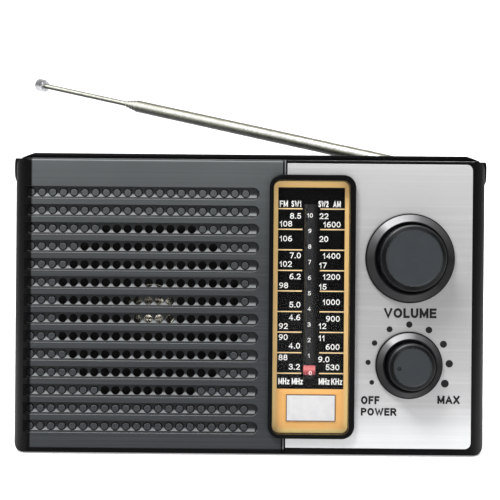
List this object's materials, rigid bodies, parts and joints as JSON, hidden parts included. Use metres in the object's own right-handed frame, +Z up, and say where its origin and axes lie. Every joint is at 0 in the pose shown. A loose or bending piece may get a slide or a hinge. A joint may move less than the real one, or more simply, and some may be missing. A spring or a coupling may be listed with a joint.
{
  "type": "portable shortwave receiver",
  "caption": "Upright portable band receiver with slotted speaker grille, vertical lit dial, rotary tuning and volume knobs, folding handle and telescopic antenna.",
  "frame": {"origin": "middle of the case's flat underside, on the standing plane", "axes": "+X to the right as seen from the front along the case's width, +Y from the front face to the back, +Z up"},
  "size_m": [0.2366, 0.181, 0.1906],
  "materials": {
    "charcoal_plastic": "fine hairline moulded texture on the grille, satin elsewhere",
    "black_plastic": "satin moulded plastic",
    "silver_plate": "horizontal brushed hairline, clear lacquer",
    "knob_black": "satin with turned lines",
    "dial_gold": "printed gold and black scale",
    "clear_window": "clear acrylic",
    "pointer_red": "translucent red",
    "badge_white": "satin off-white",
    "chrome": "polished",
    "plated_steel": "zinc plated",
    "brass": "satin",
    "white_plastic": "moulded",
    "paper_cone": "pressed paper fibre",
    "cap_aluminium": "bright spun",
    "magnet_grey": "ground ferrite with painted yoke",
    "board_green": "laminate with lacquer",
    "ferrite": "sintered",
    "copper_winding": "enamelled wire",
    "cord": "waxed braid",
    "cell_jacket": "plain printed jacket",
    "capacitor_sleeve": "shrink sleeve"
  },
  "bodies": {
    "case": {"front_case": "charcoal_plastic", "rear_case": "black_plastic", "face_plate": "silver_plate", "dial_surround": "black_plastic", "dial_scale": "dial_gold", "dial_lens": "clear_window", "badge": "badge_white", "tuning_bushing": "brass", "tuning_capacitor": "white_plastic", "pulley_pins": "plated_steel", "dial_bracket": "plated_steel", "dial_cord": "cord", "volume_potentiometer": "plated_steel", "speaker_frame": "plated_steel", "speaker_magnet": "magnet_grey", "speaker_clips": "plated_steel", "speaker_screws": "plated_steel", "main_board": "board_green", "board_screws": "plated_steel", "tuned_coil_cans": "cap_aluminium", "board_capacitors": "capacitor_sleeve", "ferrite_rod": "ferrite", "ferrite_coils": "copper_winding", "ferrite_holders": "white_plastic", "band_switch": "plated_steel", "earphone_socket": "black_plastic", "supply_socket": "black_plastic", "battery_cells": "cell_jacket", "battery_tray": "black_plastic", "battery_spring": "plated_steel", "battery_plates": "plated_steel", "handle_pins": "plated_steel", "case_screws": "plated_steel"},
    "pointer": {"dial_pointer": "pointer_red"},
    "tuner": {"tuning_knob": "knob_black", "tuning_shaft": "brass"},
    "drum": {"dial_drum": "white_plastic", "capacitor_shaft": "brass"},
    "lower_pulley": {"lower_cord_pulley": "white_plastic"},
    "upper_pulley": {"upper_cord_pulley": "white_plastic"},
    "volume": {"volume_knob": "knob_black", "volume_shaft": "brass"},
    "cone": {"speaker_cone": "paper_cone", "voice_coil": "copper_winding", "dust_cap": "cap_aluminium"},
    "band_slider": {"band_switch_knob": "knob_black"},
    "door": {"battery_door": "black_plastic"},
    "carrying_handle": {"handle": "black_plastic"},
    "aerial_swivel": {"antenna_base": "chrome", "antenna_pin": "chrome"},
    "aerial_mast": {"antenna_knuckle": "chrome", "antenna_tube": "chrome"},
    "aerial_second": {"antenna_section_2": "chrome"},
    "aerial_third": {"antenna_section_3": "chrome"},
    "aerial_fourth": {"antenna_section_4": "chrome"},
    "aerial_rod": {"antenna_rod": "chrome", "antenna_tip": "chrome"}
  },
  "joints": [
    {"name": "tuning_turn", "type": "hinge", "parent": "case", "child": "tuner", "pos_m": [0.0688, -0.022, 0.085], "axis": [0, 1, 0], "range_deg": [-12.89, 953.11]},
    {"name": "pointer_travel", "type": "slide", "parent": "case", "child": "pointer", "axis": [0, 0, 1], "range_m": [-0.001, 0.0667]},
    {"name": "drum_turn", "type": "hinge", "parent": "case", "child": "drum", "pos_m": [0.0485, -0.022, 0.066], "axis": [0, 1, 0], "range_deg": [-4, 179]},
    {"name": "lower_pulley_turn", "type": "hinge", "parent": "case", "child": "lower_pulley", "pos_m": [0.0271, -0.022, 0.016], "axis": [0, 1, 0], "range_deg": [-20, 1275]},
    {"name": "upper_pulley_turn", "type": "hinge", "parent": "case", "child": "upper_pulley", "pos_m": [0.0271, -0.022, 0.112], "axis": [0, 1, 0], "range_deg": [-20, 1275]},
    {"name": "volume_turn", "type": "hinge", "parent": "case", "child": "volume", "pos_m": [0.0687, -0.022, 0.039], "axis": [0, 1, 0], "range_deg": [-42, 226]},
    {"name": "cone_travel", "type": "slide", "parent": "case", "child": "cone", "axis": [0, 1, 0], "range_m": [-0.001, 0.001], "stiffness_N_per_m": 1200},
    {"name": "band_select", "type": "slide", "parent": "case", "child": "band_slider", "axis": [0, 0, 1], "range_m": [0, 0.009]},
    {"name": "door_swing", "type": "hinge", "parent": "case", "child": "door", "pos_m": [0, 0.03085, 0.00615], "axis": [-1, 0, 0], "range_deg": [0, 88]},
    {"name": "handle_fold", "type": "hinge", "parent": "case", "child": "carrying_handle", "pos_m": [0, -0.0008, 0.1236], "axis": [1, 0, 0], "range_deg": [0, 78]},
    {"name": "aerial_swivel_turn", "type": "hinge", "parent": "case", "child": "aerial_swivel", "pos_m": [0.084, 0.0265, 0.122], "axis": [0, 0, 1], "range_deg": [-153, 27]},
    {"name": "aerial_elbow", "type": "hinge", "parent": "aerial_swivel", "child": "aerial_mast", "pos_m": [0.084, 0.0265, 0.1291], "axis": [0.454, 0.891, 0], "range_deg": [-13.8, 76]},
    {"name": "second_section", "type": "slide", "parent": "aerial_mast", "child": "aerial_second", "axis": [-0.8653, 0.4409, 0.2385], "range_m": [0, 0.15]},
    {"name": "third_section", "type": "slide", "parent": "aerial_second", "child": "aerial_third", "axis": [-0.8653, 0.4409, 0.2385], "range_m": [0, 0.148]},
    {"name": "fourth_section", "type": "slide", "parent": "aerial_third", "child": "aerial_fourth", "axis": [-0.8653, 0.4409, 0.2385], "range_m": [0, 0.146]},
    {"name": "rod_slide", "type": "slide", "parent": "aerial_fourth", "child": "aerial_rod", "axis": [-0.8653, 0.4409, 0.2385], "range_m": [-0.055, 0.085]}
  ],
  "couplings": [
    {"joint": "pointer_travel", "follows": "tuning_turn", "m_per_rad": 0.004},
    {"joint": "drum_turn", "follows": "tuning_turn", "ratio": 0.18639},
    {"joint": "lower_pulley_turn", "follows": "tuning_turn", "ratio": 1.3333},
    {"joint": "upper_pulley_turn", "follows": "tuning_turn", "ratio": 1.3333}
  ]
}
